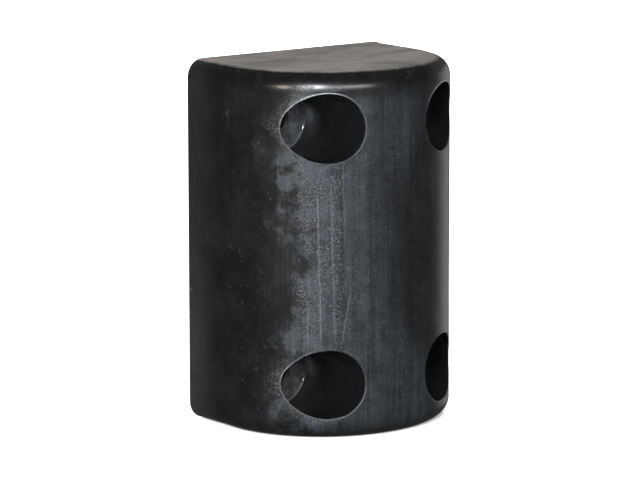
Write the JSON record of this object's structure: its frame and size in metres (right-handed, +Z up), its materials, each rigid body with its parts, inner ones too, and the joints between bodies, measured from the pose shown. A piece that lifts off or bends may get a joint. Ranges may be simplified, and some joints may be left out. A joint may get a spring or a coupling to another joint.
{
  "type": "rubber dock bumper",
  "caption": "Moulded rubber bumper with a flat mounting face, a half-oval nose and deep bolt pockets that end on moulded-in steel washers and sleeves.",
  "frame": {"origin": "centre of the flat mounting face, halfway up the block and halfway between its sides", "axes": "+Z up along the block's length, +Y out of the mounting face towards the wall, so the nose points along -Y; +X to the right for someone who faces the nose"},
  "size_m": [0.165, 0.1207, 0.2414],
  "materials": {
    "rubber": "black moulded rubber, satin, with a pale bloom and dust on the upper face",
    "washer_steel": "punched plate, darkened by the mould and filmed with rubber",
    "sleeve_steel": "drawn tube, dull and darkened"
  },
  "bodies": {
    "root": {"rubber_body": "rubber", "washer_upper_left": "washer_steel", "washer_upper_right": "washer_steel", "washer_lower_left": "washer_steel", "washer_lower_right": "washer_steel", "sleeve_upper_left": "sleeve_steel", "sleeve_upper_right": "sleeve_steel", "sleeve_lower_left": "sleeve_steel", "sleeve_lower_right": "sleeve_steel"}
  },
  "joints": []
}
